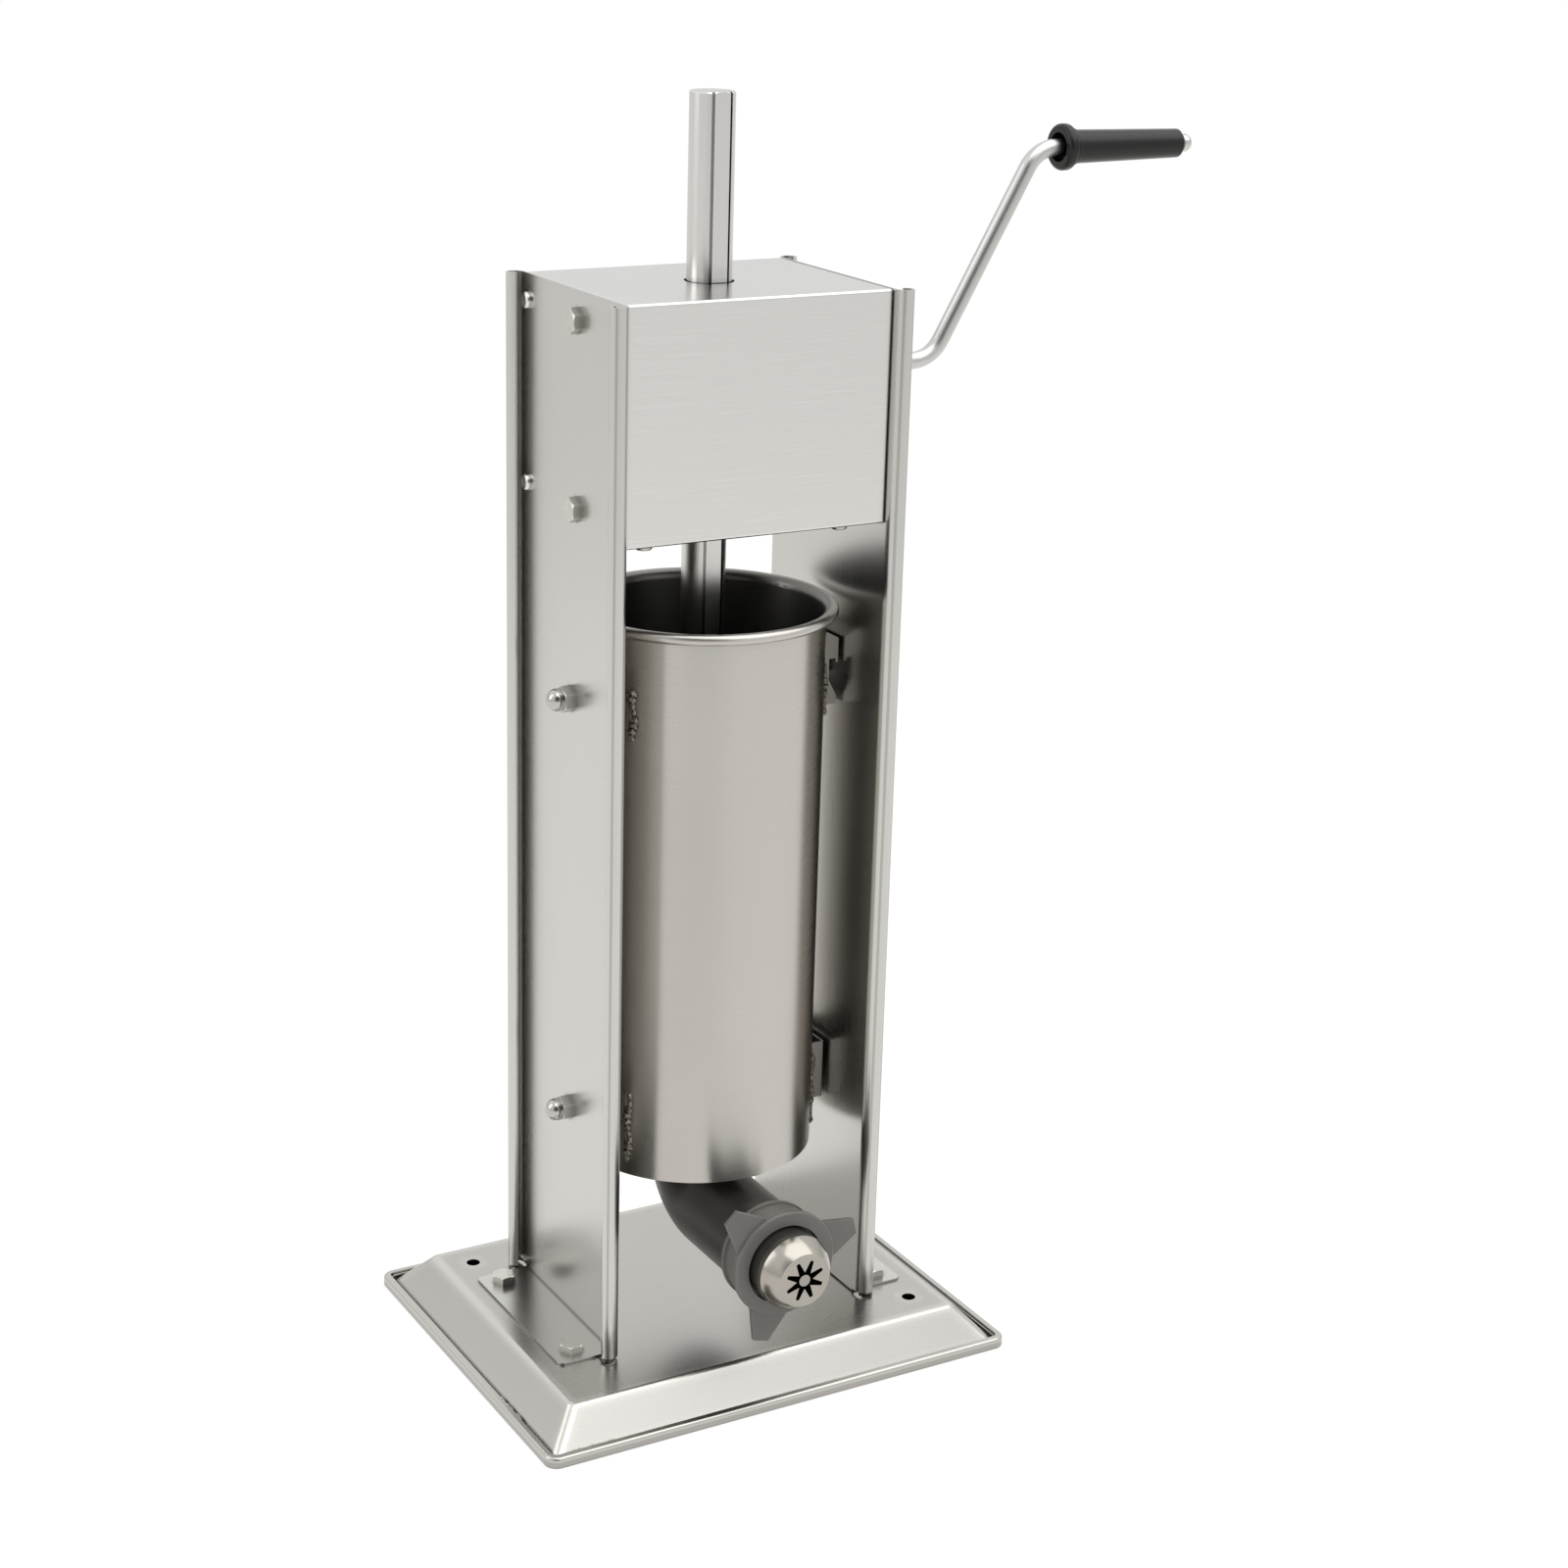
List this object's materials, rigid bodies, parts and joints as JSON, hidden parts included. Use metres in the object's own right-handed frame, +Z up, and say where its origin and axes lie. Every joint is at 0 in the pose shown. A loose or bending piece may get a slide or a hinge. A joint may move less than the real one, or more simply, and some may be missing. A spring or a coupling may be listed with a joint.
{
  "type": "churro maker",
  "caption": "Hand-cranked vertical churro press: a geared rack drives a piston down a steel cylinder, and dough leaves by an elbow and star nozzle.",
  "frame": {"origin": "centre of the base's underside, on the bench under the axis of the rod and cylinder", "axes": "+Z up along the rod, the nozzle faces -Y, the crank stands out towards +X"},
  "size_m": [0.4777, 0.2677, 0.7575],
  "materials": {
    "satin_sheet": "satin sheet",
    "column_sheet": "satin sheet",
    "cover_sheet": "sheet brushed across",
    "cylinder_sheet": "sheet brushed round",
    "bracket_sheet": "dull cut sheet",
    "plated_fasteners": "nickel plate",
    "bright_steel": "polished",
    "satin_chrome": "satin plate",
    "machined_steel": "machined",
    "weld_metal": "rough bead",
    "bush_brass": "turned",
    "seal_rubber": "moulded",
    "white_nylon": "turned",
    "grey_nylon": "moulded, fine grain",
    "grey_coat": "satin coat",
    "black_plastic": "moulded, soft gloss"
  },
  "bodies": {
    "frame": {"base_tray": "satin_sheet", "base_cover": "satin_sheet", "foot_bolts": "plated_fasteners", "foot_nuts": "plated_fasteners", "left_column": "column_sheet", "right_column": "column_sheet", "column_foot_welds": "weld_metal", "gearbox_cover": "cover_sheet", "gearbox_floor": "cover_sheet", "floor_screws": "plated_fasteners", "floor_nuts": "plated_fasteners", "rear_cover": "cover_sheet", "rear_cover_screws": "plated_fasteners", "rear_cover_nuts": "plated_fasteners", "lower_guide_block": "machined_steel", "upper_guide_block": "machined_steel", "guide_bolts": "plated_fasteners", "left_gear_plate": "machined_steel", "right_gear_plate": "machined_steel", "shaft_bushes": "bush_brass", "crank_bush": "bush_brass", "cylinder_studs": "plated_fasteners", "acorn_nuts": "bright_steel"},
    "rack": {"rack_rod": "bright_steel", "piston": "white_nylon", "piston_seal": "seal_rubber", "piston_nut": "plated_fasteners"},
    "gear_shaft_set": {"gear_shaft": "machined_steel", "rack_pinion": "machined_steel", "large_gear": "machined_steel", "shaft_rings": "machined_steel"},
    "crank": {"crank_rod": "satin_chrome", "crank_pinion": "machined_steel", "crank_collars": "machined_steel", "grip_stop_ring": "machined_steel", "grip_cap_nut": "bright_steel"},
    "grip": {"grip": "black_plastic"},
    "cylinder": {"cylinder": "cylinder_sheet", "cylinder_bottom": "cylinder_sheet", "right_upper_bracket": "bracket_sheet", "left_upper_bracket": "bracket_sheet", "right_lower_bracket": "bracket_sheet", "left_lower_bracket": "bracket_sheet", "bracket_welds": "weld_metal", "outlet_elbow": "grey_coat"},
    "nozzle": {"nozzle_sleeve": "grey_coat", "nozzle_cap": "bright_steel", "nozzle_pin": "bright_steel"},
    "wing_nut": {"wing_nut": "grey_nylon"}
  },
  "joints": [
    {"name": "rack_slide", "type": "slide", "parent": "frame", "child": "rack", "axis": [0, 0, 1], "range_m": [-0.091, 0.245]},
    {"name": "gear_shaft_turn", "type": "hinge", "parent": "frame", "child": "gear_shaft_set", "pos_m": [0, 0.026, 0.592], "axis": [1, 0, 0], "range_deg": [-803.1, 298.9]},
    {"name": "crank_turn", "type": "hinge", "parent": "frame", "child": "crank", "pos_m": [0.1, -0.01479, 0.602], "axis": [1, 0, 0], "range_deg": [-745.8, 2006.4]},
    {"name": "grip_spin", "type": "hinge", "parent": "crank", "child": "grip", "pos_m": [0.27, -0.01479, 0.722], "axis": [1, 0, 0], "continuous": true},
    {"name": "cylinder_lift_off", "type": "slide", "parent": "frame", "child": "cylinder", "axis": [0, 0, 1], "range_m": [0, 0.005]},
    {"name": "nozzle_pull_off", "type": "slide", "parent": "cylinder", "child": "nozzle", "axis": [0, -1, 0], "range_m": [0, 0.03]},
    {"name": "wing_nut_turn", "type": "hinge", "parent": "nozzle", "child": "wing_nut", "pos_m": [0, -0.11, 0.091], "axis": [0, -1, 0], "range_deg": [-1, 3601]}
  ],
  "couplings": [
    {"joint": "gear_shaft_turn", "follows": "rack_slide", "rad_per_m": -57.143},
    {"joint": "crank_turn", "follows": "rack_slide", "rad_per_m": 142.86},
    {"joint": "wing_nut_turn", "follows": "nozzle_pull_off", "rad_per_m": 2094.4}
  ]
}
